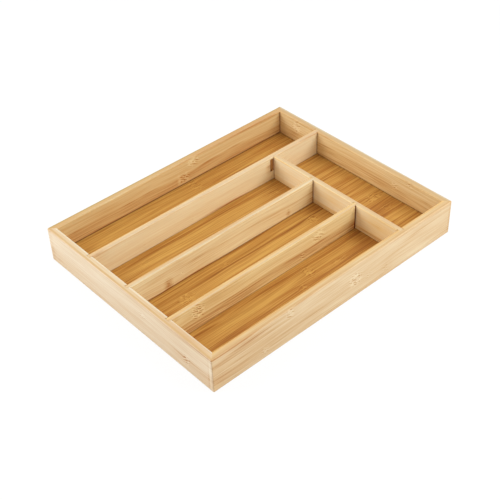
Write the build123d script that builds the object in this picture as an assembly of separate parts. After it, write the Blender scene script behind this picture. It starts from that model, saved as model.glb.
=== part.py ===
from build123d import *
import os

# Bamboo cutlery tray with five compartments, in millimetres.
# X runs along the long side from left to right, Y from front to rear, Z up.
# The origin is the middle of the footprint, on the surface that the tray rests on.

# Outer size of the tray
tray_length = 355.0
tray_width = 280.0
tray_height = 45.0

# Thickness of the boards
wall_thickness = 8.5
divider_thickness = 6.5
floor_thickness = 5.0

# The floor panel lies in a groove that runs round the inside of the four walls
floor_raise = 7.5
groove_depth = 4.0
groove_top_gap = 0.6
groove_end_gap = 0.5

# Compartments: one across the right end, the others share the width equally
cross_compartment_width = 67.5
long_divider_count = 3

# Housings: slots, open at the top, that the tongues on the dividers' ends slide down into.
# Below the tongue each end butts against the face of its neighbour. The tongue is flush with
# one face of its board; at the other face a shoulder stands back from its neighbour. It is close
# at the left wall, and elsewhere leaves the narrow dark line that shows beside each joint.
wall_housing_depth = 4.0
divider_housing_depth = 3.0
housing_end_gap = 0.15
housing_side_gap = 0.1
tongue_foot_height = 12.5
shoulder_width = 1.0
shoulder_gap = 1.0
close_shoulder_gap = 0.2
divider_foot_gap = 0.3

# The cross divider's rear tongue sits in a mortise that is closed under the rim and too wide
mortise_cover = 2.5
mortise_spare_width = 5.6

# Rounding of the edges, and how far a cutting block runs past what it cuts
edge_ease = 1.5
divider_foot_ease = 0.4
overrun = 2.0

# Inner faces of the walls, and the levels inside the tray
inside_left = -tray_length / 2 + wall_thickness
inside_right = tray_length / 2 - wall_thickness
inside_front = -tray_width / 2 + wall_thickness
inside_rear = tray_width / 2 - wall_thickness
floor_top = floor_raise + floor_thickness
housing_foot = floor_top + tongue_foot_height
divider_foot = floor_top + divider_foot_gap
mortise_top = tray_height - mortise_cover

# Places of the dividers: the left and right face of the cross one, the middle line of the long ones
cross_right = inside_right - cross_compartment_width
cross_left = cross_right - divider_thickness
clear_width = inside_rear - inside_front - long_divider_count * divider_thickness
divider_pitch = clear_width / (long_divider_count + 1) + divider_thickness
rear_line = inside_rear - divider_pitch + divider_thickness / 2
middle_line = rear_line - divider_pitch
front_line = middle_line - divider_pitch
rear_divider_front = rear_line - divider_thickness / 2


def block(x, y, z):
    """A box from its low and high value along each axis."""
    spans = (x, y, z)
    sizes = [high - low for low, high in spans]
    middles = [(low + high) / 2 for low, high in spans]
    return Pos(*middles) * Box(*sizes)


def wall_ring():
    """All four walls in one ring, edges eased, with the groove for the floor panel."""
    outside = block(
        (-tray_length / 2, tray_length / 2),
        (-tray_width / 2, tray_width / 2),
        (0, tray_height),
    )
    outside = fillet(outside.edges(), edge_ease)
    inside = block(
        (inside_left, inside_right),
        (inside_front, inside_rear),
        (-overrun, tray_height + overrun),
    )
    ring = outside - inside
    rim = ring.faces().sort_by(Axis.Z)[-1]
    ring = fillet(rim.inner_wires()[0].edges(), edge_ease)
    groove = block(
        (inside_left - groove_depth, inside_right + groove_depth),
        (inside_front - groove_depth, inside_rear + groove_depth),
        (floor_raise, floor_top + groove_top_gap),
    )
    return ring - groove


def mitred_wall(ring, run, distance, turn):
    """The side of the ring between two 45 degree mitres.

    run is the wall's length and distance its outer face's distance from the middle,
    both as for the front wall, which is then turned about the vertical axis to its side.
    """
    reach = wall_thickness + overrun
    outline = Polyline(
        (-run / 2 - overrun, -distance - overrun),
        (run / 2 + overrun, -distance - overrun),
        (run / 2 - reach, -distance + reach),
        (-run / 2 + reach, -distance + reach),
        close=True,
    )
    wedge = extrude(make_face(outline), tray_height + overrun)
    return ring & Rot(Z=turn) * wedge


def housing(x, y):
    """A slot for a tongue, from the tongue's foot up through the rim."""
    return block(x, y, (housing_foot, tray_height + overrun))


def tongue_room(line):
    """The width of a slot for the tongue of a long divider, from front to rear."""
    half = divider_thickness / 2
    return line - half + shoulder_width - housing_side_gap, line + half + housing_side_gap


def wall_end_housing(face, into_wall, line):
    """The slot in a short wall for a long divider; into_wall is -1 at the left and 1 at the right."""
    x = sorted((face - into_wall * overrun, face + into_wall * wall_housing_depth))
    return housing(x, tongue_room(line))


def divider(length, tongue_back, tongue_front, back_shoulder_gap):
    """A divider along X from 0 to length between its neighbours, with a tongue at each end.

    tongue_back reaches below 0 and tongue_front past the length. The shoulders are at the
    front face.
    """
    half = divider_thickness / 2
    board = block((-tongue_back, length + tongue_front), (-half, half), (divider_foot, tray_height))
    long_edges = board.edges().filter_by(Axis.X).sort_by(Axis.Z)
    board = fillet(long_edges[2:], edge_ease)
    foot_edges = board.edges().filter_by(Axis.X).sort_by(Axis.Z)[:2]
    board = fillet(foot_edges, divider_foot_ease)
    side = (-half - overrun, half + overrun)
    below = (floor_top - overrun, housing_foot)
    shoulder = (-half - overrun, -half + shoulder_width)
    full_height = (floor_top - overrun, tray_height + overrun)
    back_reach = -tongue_back - overrun
    front_reach = length + tongue_front + overrun
    board -= block((back_reach, 0), side, below)
    board -= block((length, front_reach), side, below)
    board -= block((back_reach, back_shoulder_gap), shoulder, full_height)
    return board - block((length - shoulder_gap, front_reach), shoulder, full_height)


wall_tongue = wall_housing_depth - housing_end_gap
divider_tongue = divider_housing_depth - housing_end_gap


def rear_divider():
    """The full-length divider, with a mortise in its front face for the cross divider.

    The mortise is wider than the tongue on the left, where its open end shows.
    """
    board = divider(inside_right - inside_left, wall_tongue, wall_tongue, close_shoulder_gap)
    board = Pos(inside_left, rear_line, 0) * board
    mortise = block(
        (cross_left - mortise_spare_width, cross_right + housing_side_gap),
        (rear_divider_front - overrun, rear_divider_front + divider_housing_depth),
        (housing_foot, mortise_top),
    )
    return board - mortise


def short_divider(line):
    """A long compartment's divider between the left wall and the cross divider."""
    board = divider(cross_left - inside_left, wall_tongue, divider_tongue, close_shoulder_gap)
    return Pos(inside_left, line, 0) * board


def cross_divider():
    """The divider from the rear divider to the front wall, slotted for the two short ones."""
    board = divider(rear_divider_front - inside_front, divider_tongue, wall_tongue, shoulder_gap)
    half = divider_thickness / 2
    board -= block(
        (-divider_tongue - overrun, 0),
        (-half - overrun, half + overrun),
        (mortise_top - housing_side_gap, tray_height + overrun),
    )
    board = Pos((cross_left + cross_right) / 2, rear_divider_front, 0) * Rot(Z=-90) * board
    for line in (middle_line, front_line):
        board -= housing((cross_left - overrun, cross_left + divider_housing_depth), tongue_room(line))
    return board


def floor_panel():
    """The bamboo panel that lies in the groove, with a little room at its edges."""
    reach = groove_depth - groove_end_gap
    return block(
        (inside_left - reach, inside_right + reach),
        (inside_front - reach, inside_rear + reach),
        (floor_raise, floor_top),
    )


ring = wall_ring()
front_wall = mitred_wall(ring, tray_length, tray_width / 2, 0)
right_wall = mitred_wall(ring, tray_width, tray_length / 2, 90)
rear_wall = mitred_wall(ring, tray_length, tray_width / 2, 180)
left_wall = mitred_wall(ring, tray_width, tray_length / 2, 270)

for line in (rear_line, middle_line, front_line):
    left_wall -= wall_end_housing(inside_left, -1, line)
right_wall -= wall_end_housing(inside_right, 1, rear_line)
front_wall -= housing(
    (cross_left + shoulder_width - housing_side_gap, cross_right + housing_side_gap),
    (inside_front - wall_housing_depth, inside_front + overrun),
)

pieces = {
    "left_wall": left_wall,
    "right_wall": right_wall,
    "front_wall": front_wall,
    "rear_wall": rear_wall,
    "floor_panel": floor_panel(),
    "rear_divider": rear_divider(),
    "cross_divider": cross_divider(),
    "middle_divider": short_divider(middle_line),
    "front_divider": short_divider(front_line),
}

os.makedirs("parts", exist_ok=True)
for name, piece in pieces.items():
    export_step(piece, f"parts/{name}.step")
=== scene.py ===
# A bamboo cutlery tray with five compartments, dressed around its packed boards.
# Metres in the scene, millimetres in the wood's patterns; X along the tray, Y to the rear, Z up.

import math

import bmesh
import bpy
from mathutils import Matrix, Vector

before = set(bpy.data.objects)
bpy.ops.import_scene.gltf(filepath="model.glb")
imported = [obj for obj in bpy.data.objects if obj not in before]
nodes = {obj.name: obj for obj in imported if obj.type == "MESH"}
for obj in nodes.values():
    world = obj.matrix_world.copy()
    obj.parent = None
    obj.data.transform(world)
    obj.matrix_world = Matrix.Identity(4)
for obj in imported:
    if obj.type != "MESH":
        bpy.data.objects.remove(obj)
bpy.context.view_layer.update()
scene = bpy.context.scene
scene.view_settings.view_transform = "Standard"
MM = 0.001


# The four walls: three-ply bamboo board, 8.5 mm thick, planed, sanded and given a clear satin
# lacquer. Each ply is pressed from strips about 20 mm wide that lie flat, with the grain along
# the board; the corners are mitred and glued, and every edge that shows is eased.

def span(node, axis):
    """Where a packed board starts and ends along an axis, in millimetres."""
    places = [round(vertex.co[axis] / MM, 3) for vertex in nodes[node].data.vertices]
    return min(places), max(places)


X, Y, Z = range(3)
HEIGHT = span("front_wall", Z)[1]
FLOOR_TOP = span("floor_panel", Z)[1]
# On the mitres, a point's distance from the middle is this much longer along X than along Y
MITRE = span("front_wall", X)[1] - span("left_wall", Y)[1]

# Colours of a board's darkest streaks, and of the dark fibres on its top edge
STREAK, TOP_FIBRE = "#B0753C", "#B98A55"
# Colours of the painted shade in the gap over the floor panel and in a joint, of the glue in a
# mitre, and of the painted shade in the mortise, darker on its left side and lighter next to the
# tongue
GAP_SHADE, JOINT_SHADE, SEAM, SLOT_SHADE, TONGUE_SIDE_SHADE = "#601E02", "#7C3008", "#9A7A5C", "#A86012", "#DCA052"


def linear(code):
    """A linear colour from an sRGB hex value."""
    values = [int(code[i:i + 2], 16) / 255 for i in (1, 3, 5)]
    return [v / 12.92 if v <= 0.04045 else ((v + 0.055) / 1.055) ** 2.4 for v in values] + [1.0]


def add(tree, kind, inputs=(), **settings):
    """Adds a shader node with its settings and links.

    The inputs stand in the order of the node's sockets, or in a dictionary by socket. Each is a
    value, an output that feeds the socket, or a node, which stands for its first output.
    """
    node = tree.nodes.new("ShaderNode" + kind)
    for name, value in settings.items():
        setattr(node, name, value)
    for socket, value in inputs.items() if isinstance(inputs, dict) else enumerate(inputs):
        if isinstance(value, bpy.types.Node):
            value = value.outputs[0]
        if isinstance(value, bpy.types.NodeSocket):
            tree.links.new(value, node.inputs[socket])
        else:
            node.inputs[socket].default_value = value
    return node


def fill_ramp(ramp, stops):
    """Puts stops of (position, hex colour or grey value) on a colour ramp."""
    elements = ramp.color_ramp.elements
    while len(elements) < len(stops):
        elements.new(0.5)
    for element, (position, value) in zip(elements, stops):
        element.position = position
        element.color = linear(value) if isinstance(value, str) else (value, value, value, 1.0)


def new_material(name, roughness):
    """A material with one Principled shader, and the object coordinates in millimetres."""
    material = bpy.data.materials.new(name)
    material.use_nodes = True
    tree = material.node_tree
    tree.nodes.clear()
    shader = add(tree, "BsdfPrincipled", {"Roughness": roughness, "IOR": 1.5,
                                          "Specular IOR Level": 0.2})
    add(tree, "OutputMaterial", [shader])
    place = add(tree, "TexCoord").outputs["Object"]
    place = add(tree, "VectorMath", {0: place, "Scale": 1 / MM}, operation="SCALE")
    return material, tree, shader, place


def noise(tree, place, period, detail, seed):
    """Noise from 0 to 1 whose grain is period millimetres long along each axis."""
    local = add(tree, "Mapping", {"Vector": place, "Location": (seed, seed * 1.7, seed * 2.3),
                                  "Scale": [1 / length for length in period]})
    return add(tree, "TexNoise", {"Vector": local, "Scale": 1.0, "Detail": detail,
                                  "Roughness": 0.55})


def apart(tree, value, place):
    """How far a value lies from a place, on either side."""
    return add(tree, "Math", [add(tree, "Math", [value, place], operation="SUBTRACT")],
               operation="ABSOLUTE")


def patch(tree, place, centre, reach, tilt=0.0):
    """1 in the middle of a soft ellipsoid and 0 outside it, in millimetres, tilted on the face."""
    local = add(tree, "Mapping", {"Vector": place, "Location": centre, "Scale": reach,
                                  "Rotation": (0, 0, math.radians(tilt))}, vector_type="TEXTURE")
    return add(tree, "TexGradient", [local], gradient_type="SPHERICAL").outputs["Fac"]


def culm_nodes(tree, place, knots, level, depth):
    """How much each point lies in one of the culm's nodes, where the cane had its joints."""
    knot = 0.0
    for along, across, length, width, strength in knots:
        inside = patch(tree, place, (along, across, level), (length, width, depth))
        inside = add(tree, "Math", [inside, strength], operation="MULTIPLY")
        knot = add(tree, "Math", [knot, inside], operation="MAXIMUM")
    return knot


def bent_grain(tree, place, knot, wave, bend, seed):
    """The place, moved across the grain by a slow wave and bent in the culm's nodes."""
    swirl = noise(tree, place, (9, 6, 6), 1, seed)
    swirl = add(tree, "MapRange", [swirl, 0.25, 0.75, -bend, bend])
    shift = add(tree, "Math", [swirl, knot, wave], operation="MULTIPLY_ADD")
    shift = add(tree, "CombineXYZ", {1: shift})
    return add(tree, "VectorMath", [place, shift], operation="ADD")


def pressed_strips(tree, rise, strips):
    """The tone of each strip up the face, with a glue line or a soft change where two meet."""
    stops = [(0, strips[0][1])]
    for (_, tone, _), (seam, next_tone, line) in zip(strips, strips[1:]):
        reach = 1.0 if line else 6.0
        stops += [((seam - reach) / HEIGHT, tone), (seam / HEIGHT, (tone + next_tone) / 2 + line),
                  ((seam + reach) / HEIGHT, next_tone)]
    ramp = add(tree, "ValToRGB", [add(tree, "MapRange", [rise, 0, HEIGHT, 0, 1])])
    fill_ramp(ramp, stops)
    return ramp


def fibred(tree, tone, layers, grain=1.0):
    """Adds layers of noise to a tone, each as (noise, low, high, amount).

    With a grain of 1 a layer adds between nothing and its amount, and with less grain it stays
    nearer to half of it.
    """
    for layer, low, high, amount in layers:
        layer = add(tree, "MapRange", [layer, low, high, amount * (0.5 - grain / 2),
                                       amount * (0.5 + grain / 2)])
        tone = add(tree, "Math", [tone, layer], operation="ADD")
    return tone


def streaked_and_shaded(tree, tone, place, streaks, level, depth, solid):
    """Adds darker or paler streaks to a tone, and patches of painted shade.

    depth: how far they reach into the wood; solid: the share of a patch from which a streak has
    its full tone, so that 1 lets it fade from its middle outwards
    """
    for along, across, length, width, amount, *tilt in streaks:
        inside = patch(tree, place, (along, across, level), (length, width, depth), *tilt)
        inside = add(tree, "MapRange", [inside, 0, solid, 0, 1])
        tone = add(tree, "Math", [inside, amount, tone], operation="MULTIPLY_ADD")
    return tone


def vessels(tree, tone, line, step, broken, pale, share):
    """Adds the wavy dashes of cut vessels, dark and pale, that a culm's node shows.

    line: a value that grows across the dashes; step: half of their spacing; broken: where they
    are whole; pale: how much paler the wood between them is; share: how strongly they show
    """
    ring = add(tree, "Math", [line, step], operation="PINGPONG")
    ring = add(tree, "MapRange", [ring, 0.2, step - 0.2, 0, 1])
    dash = add(tree, "Math", [ring, broken], operation="MULTIPLY")
    dash = add(tree, "Math", [dash, pale], operation="SUBTRACT")
    return add(tree, "Math", [dash, share, tone], operation="MULTIPLY_ADD")


def plies_and_top_shade(tree, through, low, high, rim, tone):
    """The colour of the eased top edge, which is cut across the three plies and painted darker as
    shade on the top.
    """
    ramp = add(tree, "ValToRGB", [add(tree, "MapRange", [through, low, high, 0, 1])])
    fill_ramp(ramp, [(0.25, rim[0]), (0.42, rim[1]), (0.58, rim[1]), (0.8, rim[2])])
    share = add(tree, "MapRange", [tone, 0.3, 1.2, 0, 0.7])
    return add(tree, "Mix", {0: share, 6: ramp, 7: linear(TOP_FIBRE)}, data_type="RGBA").outputs[2]


def boxed(tree, parts, axes, box, share):
    """A share within a box of (low, high) along, up and through the board, and 0 outside it."""
    for axis, (low, high) in zip(axes, box):
        over = add(tree, "Math", [parts[axis], low], operation="GREATER_THAN")
        under = add(tree, "Math", [parts[axis], high], operation="LESS_THAN")
        both = add(tree, "Math", [over, under], operation="MULTIPLY")
        share = add(tree, "Math", [share, both], operation="MULTIPLY")
    return share


def lacquered(tree, shader, colour, fibre, strength):
    """Gives the shader the wood's colour, and the faint ridges of its fibres under the lacquer."""
    tree.links.new(colour, shader.inputs["Base Color"])
    bump = add(tree, "Bump", {"Height": fibre, "Distance": 0.0002, "Strength": strength})
    tree.links.new(bump.outputs[0], shader.inputs["Normal"])


def dress(node, material):
    """Puts a material in all of a packed board's slots."""
    for i in range(len(nodes[node].data.materials)):
        nodes[node].data.materials[i] = material


def bamboo_board(node, pale, honey, rim, strips, knots, streaks, seed, grain, foot=(0.0, 1.5),
                 joints=(), mitred=False):
    """Dresses a packed board in natural bamboo; its show face is its front or left side.

    pale, honey: colours of its light and its dark fibres; rim: of the three plies on the top edge,
    painted darker than the face as shade on the top
    strips: (foot, tone, darkness of the glue line at its foot) of each strip up the face
    knots: (along, up, half length, half height, strength) of the culm's nodes on the show face
    streaks: (along, up, half length, half height, tone, and tilt if any) of streaks in the wood, and
    of patches of painted shade
    seed: where its noise starts, so that no two boards are alike; grain: how strongly fibres show
    foot: strength and reach of the painted shade in the gap over the floor panel, on the show face
    joints: (low, high) along, up and through the board of the shade painted in a joint, how strongly
    it shows, and its colour; mitred: whether the ends show a glue line
    """
    material, tree, shader, place = new_material("flat_pressed_bamboo_" + node, 0.45)
    spans = [span(node, axis) for axis in range(3)]
    # The longest side runs along the grain, and the shortest through the board
    axes = sorted(range(3), key=lambda axis: spans[axis][0] - spans[axis][1])
    face, back = spans[axes[2]]
    parts = add(tree, "SeparateXYZ", [place]).outputs
    board = add(tree, "CombineXYZ", [parts[axis] for axis in axes])

    # The culm's nodes bend the fibres beside them
    knot = culm_nodes(tree, board, knots, face, 4)
    wave = add(tree, "MapRange", [noise(tree, board, (110, 40, 12), 1, seed), 0.2, 0.8, -2.0, 2.0])
    bent = bent_grain(tree, board, knot, wave, 2.5, seed + 5)
    rise = add(tree, "SeparateXYZ", [bent]).outputs[1]

    # Real fibres are 0.3 mm wide; they are drawn as coarse as 2 mm so that they show
    fibre = noise(tree, bent, (60, 1.3, 1.6), 2, seed + 11)
    broad = noise(tree, bent, (200, 5, 4), 2, seed + 17)
    vein = noise(tree, bent, (70, 2.0, 2), 1, seed + 37)
    tone = pressed_strips(tree, rise, strips)
    tone = fibred(tree, tone, ((fibre, 0.38, 0.62, 0.64), (broad, 0.38, 0.62, 0.18),
                               (vein, 0.52, 0.66, 0.15)), grain)
    tone = streaked_and_shaded(tree, tone, bent, streaks, face, 14, 1.0)
    slant = add(tree, "Math", [parts[axes[0]], 0.45, rise], operation="MULTIPLY_ADD")
    broken = noise(tree, bent, (3.5, 2.5, 3), 1, seed + 23)
    broken = add(tree, "MapRange", [broken, 0.4, 0.52, 0, 1])
    share = add(tree, "MapRange", [knot, 0.0, 0.4, 0, 1.1])
    tone = vessels(tree, tone, slant, 1.6, broken, 0.4, share)

    # Painted shade darkens the face under its eased edge, which turns up to the lamps, and the edge
    # shows the plies' sides
    edge_shade = add(tree, "MapRange", [parts[Z], HEIGHT - 3, HEIGHT - 1, 0, 0.35])
    edge_shade = add(tree, "Math", [tone, edge_shade], operation="ADD")
    colour = add(tree, "ValToRGB", [add(tree, "MapRange", [edge_shade, 0, 1.5, 0, 1])])
    fill_ramp(colour, [(0, pale), (0.67, honey), (1, STREAK)])
    # The edge's plies are painted darker than the face, as shade on the top, which the lamps light
    # more
    plies = plies_and_top_shade(tree, parts[axes[2]], face, back, rim, tone)
    upper = add(tree, "MapRange", [parts[Z], HEIGHT - 0.6, HEIGHT - 0.05, 0, 1])
    colour = add(tree, "Mix", {0: upper, 6: colour, 7: plies}, data_type="RGBA").outputs[2]

    # The painted shade in the gap over the floor panel and in the joints, and the glue line of the
    # mitres
    strength, reach = foot
    gap = add(tree, "MapRange", [apart(tree, parts[Z], FLOOR_TOP), 0.5, reach, strength, 0])
    on_face = add(tree, "Math", [apart(tree, parts[axes[2]], face), 1.0], operation="LESS_THAN")
    lines = [(add(tree, "Math", [gap, on_face], operation="MULTIPLY"), GAP_SHADE)]
    lines += [(boxed(tree, parts, axes, box, share), ink) for *box, share, ink in joints]
    if mitred:
        sides = [apart(tree, parts[axis], 0.0) for axis in (X, Y)]
        line = apart(tree, add(tree, "Math", sides, operation="SUBTRACT"), MITRE)
        line = add(tree, "MapRange", [line, 0.1, 0.5, 0.18, 0])
        below = add(tree, "MapRange", [parts[Z], HEIGHT - 2, HEIGHT - 1, 1, 0])
        lines.append((add(tree, "Math", [line, below], operation="MULTIPLY"), SEAM))
    for share, ink in lines:
        colour = add(tree, "Mix", {0: share, 6: colour, 7: linear(ink)}, data_type="RGBA").outputs[2]

    lacquered(tree, shader, colour, fibre, 0.25)
    dress(node, material)


def beside(node, axis, before, after):
    """A stretch that starts before and ends after the low side of a packed board."""
    side = span(node, axis)[0]
    return side - before, side + after


bamboo_board(
    "front_wall", "#ECD9B5", "#D5B283", rim=("#C0A174", "#CCB488", "#D1AD71"),
    strips=((0, 0.30, 0), (14, 0.20, 0), (30, 0.12, 0)),
    knots=((22, 24, 12, 11, 1.0), (-74, 38, 7, 8, 0.9), (-108, 11, 7, 6, 0.5), (70, 12, 9, 8, 0.2),
           (42, 18, 9, 6, 0.25)),
    streaks=((-155, 34, 60, 4, 0.4), (-100, 33.5, 45, 3, 0.25), (-165, 15, 50, 7, 0.3),
             (-85, 15.5, 65, 3.5, 0.35), (-30, 16, 40, 2.5, 0.3), (-25, 34, 30, 5, 0.2),
             (-120, 39.5, 60, 4, 0.7), (-120, 5, 60, 7, -0.1), (0, 9, 80, 7, -0.35),
             (115, 8, 60, 8, -0.55), (-120, 45, 70, 4, 0.12), (45, 45, 80, 4, -0.2),
             (115, 39, 90, 7, 0.05), (112, 31.5, 26, 5, 0.3, 6), (155, 34, 50, 3, 0.4),
             (0, 3, 170, 2, 0.1), (-178, 24, 110, 60, 0.3), (70, 12, 12, 12, 0.2),
             (175, 22, 2.2, 40, 0.4)),
    seed=1.0, grain=0.75, mitred=True)
bamboo_board(
    "left_wall", "#EEE1C9", "#D7B993", rim=("#C2A375", "#CFBA97", "#D3C6AB"),
    strips=((0, 0.35, 0), (21, 0.05, 0)),
    knots=((-100, 16, 7, 9, 0.6), (-30, 29, 7, 6, 0.4)),
    streaks=((-95, 20.5, 45, 3, 0.35), (-95, 41.5, 60, 4, 0.35), (20, 19, 60, 4, 0.2),
             (-140, 12, 90, 22, 0.15), (90, 33, 90, 16, -0.2), (-134, 18, 1.6, 34, 0.25),
             (135, 20, 5, 40, 0.3), (-139.4, 40, 1.4, 20, 0.4), (-136.6, 18, 1.4, 30, -0.4),
             (122, 9, 14, 2.5, 0.3), (0, 41, 170, 4, 0.3), (90, 33, 60, 12, 0.1),
             (-20, 10, 120, 12, -0.15), (-90, 33, 50, 10, 0.3), (90, 11, 50, 10, -0.2),
             (-100, 45, 80, 4, 0.3), (60, 45, 90, 4, -0.2)),
    seed=2.0, grain=0.65, mitred=True)
bamboo_board(
    "rear_wall", "#E6D1A0", "#D0AB73", rim=("#C2A679", "#C1A16F", "#A9935E"),
    strips=((0, 0.62, 0), (27.5, 0.20, 0.14)),
    knots=((10, 22, 10, 9, 1.0), (26, 38, 12, 9, 0.7)),
    streaks=((-148, 27.5, 16, 1.8, 0.35), (-73, 27.5, 18, 1.8, 0.4), (-43, 28, 20, 1.8, 0.4),
             (48, 27.5, 20, 1.8, 0.5), (90, 27.8, 20, 1.8, 0.5), (2, 22, 3, 12, -0.4),
             (22, 38, 9, 9, -0.3), (-120, 19, 90, 12, 0.1), (-105, 36, 60, 9, 0.35),
             (110, 46, 110, 5, 0.75), (-90, 46, 110, 4, -0.4)),
    seed=3.0, grain=0.6, foot=(1.0, 2.5), mitred=True,
    joints=((beside("right_wall", X, 1.0, 0.1), (FLOOR_TOP - 0.5, HEIGHT - 1),
             beside("rear_wall", Y, 0.5, 0.5), 0.5, JOINT_SHADE),))
bamboo_board(
    "right_wall", "#F0DBAF", "#D6B57D", rim=("#C1A377", "#BAA176", "#C3B79C"),
    strips=((0, 0.6, 0), (18, 0.5, 0.06), (31, 0.18, 0.05)),
    knots=((101, 36, 9, 10, 1.0), (-85, 41, 8, 4, 0.5), (-63, 30, 8, 6, 0.5)),
    streaks=((105, 25, 16, 1.8, 0.4), (105, 21, 16, 1.8, 0.4), (48, 31, 20, 1.8, 0.3),
             (-78, 19.5, 26, 1.8, 0.45), (-112, 31, 14, 1.6, 0.3), (20, 16.5, 60, 1.6, 0.1),
             (125, 33, 9, 1.6, 0.3)),
    seed=4.0, grain=0.7, foot=(0.7, 1.9), mitred=True,
    joints=((beside("rear_divider", Y, 0.1, 1.1), (0, HEIGHT - 1),
             beside("right_wall", X, 1.0, 0.3), 0.5, JOINT_SHADE),
            (beside("rear_wall", Y, 1.2, 0.1), (FLOOR_TOP - 0.5, HEIGHT - 1),
             beside("right_wall", X, 1.0, 0.3), 0.5, JOINT_SHADE)))

# The dividers: thinner three-ply boards of the same bamboo, 6.5 mm, with both long top edges
# rounded. Their tongues drop into housings cut in the walls and in each other.

# The mortise for the cross divider is painted with shade, darker on its left side and lighter next
# to the tongue
MORTISE = (FLOOR_TOP + 12.4, HEIGHT - 5.2)
IN_MORTISE = beside("rear_divider", Y, -0.2, 3.9)
bamboo_board(
    "rear_divider", "#F8F5D6", "#E0C69A", rim=("#CDBB9D", "#D4C19B", "#DDC393"),
    strips=((0, 0.38, 0), (27, 0.24, 0)),
    knots=((-103, 21, 6, 5, 0.08), (-33, 20, 6, 7, 0.1)),
    # The streaks along the foot at (25, 13.5) and beside the mortise at (87.5, 33) are painted shade
    streaks=((-163, 40, 18, 12, 0.3), (20, 30, 90, 3, 0.12), (150, 45, 60, 6, 0.2),
             (25, 13.5, 70, 3, 0.7), (87.5, 33, 7, 12, 0.35)),
    seed=5.0, grain=0.4, foot=(0.5, 1.5),
    joints=((beside("cross_divider", X, 6.0, -1.7), MORTISE, IN_MORTISE, 0.9, SLOT_SHADE),
            (beside("cross_divider", X, 1.7, 1.1), MORTISE, IN_MORTISE, 0.85, TONGUE_SIDE_SHADE),
            (beside("cross_divider", X, 0.1, 1.1), (0, HEIGHT - 1.5),
             beside("rear_divider", Y, 4.0, 0.9), 0.25, JOINT_SHADE),
            (beside("right_wall", X, 1.0, 11.0), (0, HEIGHT - 1),
             beside("rear_divider", Y, 4.0, 1.1), 0.5, JOINT_SHADE)))
bamboo_board(
    "middle_divider", "#F9F1CB", "#DFC493", rim=("#D0C3A3", "#CEB790", "#D0AE79"),
    strips=((0, 0.42, 0), (26, 0.24, 0)),
    knots=((-122, 20, 6, 8, 0.08), (-103, 24, 4, 3, 0.4), (55, 20, 6, 8, 0.1)),
    # The streaks near the cross divider at (97, 18) and along the foot at (-100, 13.5) are painted
    # shade
    streaks=((-142, 33, 24, 3, 0.45), (-75, 31.8, 40, 3.5, 0.45), (0, 30.5, 70, 2.6, 0.35),
             (60, 29.5, 50, 3, 0.3), (-122, 21, 8, 10, 0.6), (97, 18, 16, 22, 0.5),
             (54.5, 19.5, 5, 9, 0.4), (-20, 20, 50, 8, -0.3), (-105, 37, 55, 8, 0.25),
             (-100, 13.5, 70, 2.5, 1.0)),
    seed=6.0, grain=0.65, foot=(0.92, 1.7),
    joints=((beside("cross_divider", X, 1.3, 5.0), (0, HEIGHT - 0.5),
             beside("middle_divider", Y, 5.0, 1.05), 0.85, JOINT_SHADE),))
bamboo_board(
    "front_divider", "#F6E6B4", "#DBBC82", rim=("#CAB38C", "#D1B382", "#D5B67A"),
    strips=((0, 0.66, 0), (26.8, 0.14, 0.05)),
    knots=((-137, 35, 12, 12, 0.8), (11, 20, 6, 6, 0.4), (36, 36, 12, 9, 0.8)),
    # The streak near the cross divider at (97, 18) is painted shade
    streaks=((-85, 26.8, 40, 1.8, 0.25), (45, 26.3, 30, 1.8, 0.3, 3), (78, 28, 18, 1.8, 0.25),
             (97, 18, 16, 22, 0.4), (38, 31, 8, 6, 0.25, -20), (-165, 41, 8, 4, 0.4),
             (-110, 36, 55, 10, 0.4)),
    seed=7.0, grain=0.7, foot=(0.58, 1.7),
    joints=((beside("cross_divider", X, 1.6, 5.0), (0, HEIGHT - 0.5),
             beside("front_divider", Y, 5.0, 1.05), 1.0, JOINT_SHADE),))
bamboo_board(
    "cross_divider", "#F2E8CF", "#EACA8E", rim=("#CAB28A", "#C9B088", "#C8AE86"),
    strips=((0, 0.45, 0), (19.5, 0.0, 0.1)),
    knots=(),
    streaks=((-105, 16, 50, 8, 0.22), (-105, 33, 40, 22, 0.6), (-35, 19.5, 30, 1.5, 0.2),
             (-28, 15, 30, 6, 0.16), (-32, 33, 25, 12, 0.4), (42, 16, 25, 6, -0.22)),
    seed=8.0, grain=0.5, foot=(0.25, 1.3),
    joints=((beside("middle_divider", Y, 0.15, 1.05), (0, HEIGHT - 1),
             beside("cross_divider", X, 1.0, 0.3), 0.65, JOINT_SHADE),
            (beside("front_divider", Y, 0.15, 1.05), (0, HEIGHT - 1),
             beside("cross_divider", X, 1.0, 0.3), 0.95, JOINT_SHADE),
            # The tongue's end in the mortise is painted with the same shade
            (beside("rear_divider", Y, 1.1, 6.0), (0, HEIGHT - 3.5),
             beside("cross_divider", X, 1.0, 1.1), 0.4, SLOT_SHADE)))

# The floor panel: caramel bamboo, steamed until its sugars turn brown, pressed from narrow strips
# on edge, 5 mm thick. It lies loose in the grooves of the walls, grain along the tray.

STRIP_WIDTH = 4.5
# Nodes of the culm: middle along and across the tray, half length, half width, strength
FLOOR_KNOTS = (
    (18, 121, 8, 14, 1.0), (-118, -28, 14, 9, 1.0), (4, -87, 9, 13, 0.8), (153, -46, 15, 9, 1.0),
    (-17, -101, 8, 6, 0.7), (42, -97, 14, 4, 0.6), (72, -25, 10, 9, 0.8), (-52, -15, 10, 4, 0.6),
    (76, 44, 12, 8, 0.5), (-116, 47, 9, 7, 0.4), (150, -70, 10, 8, 0.4))
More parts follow.
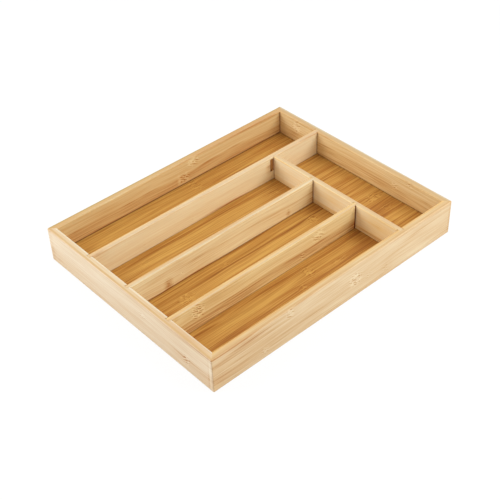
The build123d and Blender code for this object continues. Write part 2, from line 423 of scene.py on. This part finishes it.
# Darker and more golden strips: middle along and across, half length, half width, tone
# The broad darker strips near the cross divider and towards the front right are painted shade, where
# the dividers and walls shade the floor
FLOOR_STREAKS_AND_SHADE = (
    (-125, 128, 34, 1.6, 0.4), (60, 110, 80, 1.5, 0.2), (-40, 117, 90, 5, -0.15),
    (-30, 62, 140, 2.5, 0.25), (-30, 57, 130, 2.0, 0.45), (140, 61, 40, 4, 0.3),
    (140, 55, 40, 1.5, 0.35), (-40, 46, 150, 10, -0.25), (140, 34.5, 45, 1.8, 0.4),
    (140, 23, 45, 2.2, 0.25), (140, 18.5, 45, 1.8, 0.45), (140, 10, 45, 6, -0.3),
    (150, 1, 25, 2, 0.4), (0, -3.5, 190, 2.0, 0.55), (-90, -8.5, 70, 1.6, 0.4),
    (20, -9, 80, 1.4, 0.3), (140, -11, 45, 1.6, 0.4), (-130, -14.5, 26, 1.5, 0.5),
    (0, -14.5, 60, 1.3, 0.3), (0, -20, 180, 1.7, 0.5), (-20, -30, 160, 8, -0.3),
    (140, -58, 45, 1.6, 0.3), (140, -66, 40, 8, 0.25), (-138, -78, 26, 2.2, 0.7),
    (50, -78.5, 60, 2.0, 0.6), (-40, -77, 90, 1.8, 0.35), (145, -77.5, 35, 1.5, 0.4),
    (-30, -88, 150, 8, -0.25), (140, -88, 45, 9, -0.2), (-120, -100, 50, 2, 0.45),
    (-20, -104, 170, 3.5, 0.4), (75, -101, 40, 3, 0.35), (140, -102, 45, 3, 0.4),
    (120, -90, 130, 90, 0.22), (110, 110, 90, 40, 0.15), (120, -30, 70, 60, 0.1),
    (-150, 115, 80, 40, -0.2), (-130, 33, 60, 12, 0.1), (-20, -10, 90, 5, -0.25),
    (112, -58, 14, 24, 0.15), (128, -92, 16, 9, 0.2), (150, -76, 16, 7, -0.2),
    (140, 28, 50, 34, 0.15), (160, 8, 10, 10, 0.2), (92, -34, 26, 40, 0.15),
    (92, -100, 26, 40, 0.15), (80, 40, 45, 40, 0.18), (-20, -90, 50, 20, 0.15),
    (-160, 109, 30, 8, 0.2), (150, 109, 30, 8, 0.2), (112, -35, 14, 90, 0.25),
    (-110, -103, 60, 4, 0.3), (-60, -38, 120, 5, 0.15), (85, -12, 18, 6, 0.3),
    (85, -84, 10, 8, 0.15), (-148, 43, 45, 25, 0.15), (-148, -28, 45, 22, 0.12),
    (-155, 114, 30, 12, 0.12), (30, -37, 45, 5, 0.15), (50, -102, 30, 4, 0.12),
    (-75, -102, 20, 4, 0.12))

material, tree, shader, place = new_material("edge_pressed_caramel_bamboo_floor", 0.5)
knot = culm_nodes(tree, place, FLOOR_KNOTS, FLOOR_TOP, 6)
wave = add(tree, "MapRange", [noise(tree, place, (90, 14, 12), 1, 31.0), 0.25, 0.75, -1.0, 1.0])
bent = bent_grain(tree, place, knot, wave, 3.5, 33.0)
across = add(tree, "SeparateXYZ", [bent]).outputs[1]

# Each strip has a tone of its own. Its fibres are 0.3 mm wide; they are drawn as coarse as 2 mm.
index = add(tree, "Math", [across, STRIP_WIDTH], operation="DIVIDE")
index = add(tree, "Math", [index], operation="FLOOR")
own = add(tree, "TexWhiteNoise", {"W": index}, noise_dimensions="1D")
fibre = noise(tree, bent, (80, 1.3, 3), 2, 37.0)
vein = noise(tree, bent, (80, 2.2, 3), 1, 47.0)
broad = noise(tree, bent, (150, 6, 6), 2, 41.0)
tone = fibred(tree, -0.03, ((own, 0, 1, 0.12), (fibre, 0.42, 0.58, 0.62), (vein, 0.52, 0.6, 0.15),
                            (broad, 0.35, 0.65, 0.16)))
tone = streaked_and_shaded(tree, tone, bent, FLOOR_STREAKS_AND_SHADE, FLOOR_TOP, 6, 0.6)
broken = add(tree, "MapRange", [noise(tree, bent, (4.5, 3, 3), 1, 43.0), 0.42, 0.58, 0, 1])
share = add(tree, "MapRange", [knot, 0.0, 0.45, 0, 0.9])
tone = vessels(tree, tone, across, 1.5, broken, 0.3, share)
colour = add(tree, "ValToRGB", [add(tree, "MapRange", [tone, 0, 1.8, 0, 1])])
fill_ramp(colour, [(0, "#CB9D50"), (0.5, "#AB7332"), (1, "#743C16")])
lacquered(tree, shader, colour.outputs[0], fibre, 0.3)
dress("floor_panel", material)

# The surface that the tray stands on: a matt sweep. It shows plain white to the camera, with only
# the faint shadow under the tray's edges, and throws less light back at the tray than it shows.
# Away from the tray it shines with its own white, so that no horizon shows behind.

SWEEP_HALF = 3.0
# Distances from the tray's middle at which the sweep starts to turn white, and is all white
NEAR, FAR = 0.4, 1.2
floor_mesh = bpy.data.meshes.new("white_sweep")
work = bmesh.new()
bmesh.ops.create_grid(work, x_segments=1, y_segments=1, size=SWEEP_HALF)
work.to_mesh(floor_mesh)
work.free()
floor = bpy.data.objects.new("white_sweep", floor_mesh)
scene.collection.objects.link(floor)
material = bpy.data.materials.new("matt_white_sweep")
material.use_nodes = True
tree = material.node_tree
tree.nodes.clear()
seen = add(tree, "LightPath").outputs["Is Camera Ray"]
paper = add(tree, "Mix", {0: seen, 6: linear("#DADADA"), 7: linear("#FAFAFA")}, data_type="RGBA")
matt = add(tree, "BsdfDiffuse", {"Color": paper.outputs[2]})
glow = add(tree, "Emission", {"Color": (1, 1, 1, 1), "Strength": 1.0})
away = add(tree, "VectorMath", [add(tree, "TexCoord").outputs["Object"]], operation="LENGTH")
share = add(tree, "MapRange", [away.outputs["Value"], NEAR, FAR, 0.88, 1.0])
share = add(tree, "Math", [seen, share], operation="MULTIPLY")
add(tree, "OutputMaterial", [add(tree, "MixShader", [share, matt, glow])])
floor_mesh.materials.append(material)

# The light: two large softboxes, behind the tray on its left and in front on its right, and the
# white walls and ceiling of the studio all round, which are plain white behind the tray.

world = bpy.data.worlds.new("white_studio")
scene.world = world
world.use_nodes = True
tree = world.node_tree
tree.nodes.clear()
path = add(tree, "LightPath").outputs
seen = add(tree, "Math", [path["Is Camera Ray"], path["Is Glossy Ray"]], operation="MAXIMUM")
seen = add(tree, "Math", [seen, path["Is Transmission Ray"]], operation="MAXIMUM")
dim = add(tree, "Background", {"Color": (1, 1, 1, 1), "Strength": 0.68})
white = add(tree, "Background", {"Color": (1, 1, 1, 1), "Strength": 1.0})
add(tree, "OutputWorld", [add(tree, "MixShader", [seen, dim, white])])

# Compass angle of each softbox (0 stands at the front, 90 at the right), height angle, power
SOFTBOXES = (("left_softbox", 225, 36, 14.6), ("right_softbox", 45, 44, 15.7))
STAND, BOX_WIDTH = 1.5, 1.24
for name, compass, rise, power in SOFTBOXES:
    compass, rise = math.radians(compass), math.radians(rise)
    lamp = bpy.data.lights.new(name, "AREA")
    lamp.shape = "DISK"
    lamp.size = BOX_WIDTH
    lamp.energy = power
    box = bpy.data.objects.new(name, lamp)
    scene.collection.objects.link(box)
    outward = Vector((math.sin(compass) * math.cos(rise), -math.cos(compass) * math.cos(rise),
                      math.sin(rise)))
    turn = (-outward).to_track_quat("-Z", "Y").to_matrix().to_4x4()
    box.matrix_world = Matrix.Translation(outward * STAND) @ turn

# The camera: a short telephoto lens from the front left, a little over 40 degrees up.

AZIMUTH, ELEVATION, ROLL = (math.radians(a) for a in (-40.68, 40.10, -2.36))
DISTANCE, TARGET = 1.152, Vector((-0.0070, -0.0043, 0.0))
SENSOR, FOCAL_LENGTH = 36.0, 73.1
back = Vector((math.sin(AZIMUTH) * math.cos(ELEVATION), -math.cos(AZIMUTH) * math.cos(ELEVATION),
               math.sin(ELEVATION)))
side = (-back).cross(Vector((0, 0, 1))).normalized()
upright = back.cross(side)
right = side * math.cos(ROLL) + upright * math.sin(ROLL)
above = upright * math.cos(ROLL) - side * math.sin(ROLL)
lens = bpy.data.cameras.new("camera")
lens.sensor_width = SENSOR
lens.lens = FOCAL_LENGTH
camera = bpy.data.objects.new("camera", lens)
scene.collection.objects.link(camera)
turn = Matrix((right, above, back)).transposed().to_4x4()
camera.matrix_world = Matrix.Translation(TARGET + back * DISTANCE) @ turn
scene.camera = camera
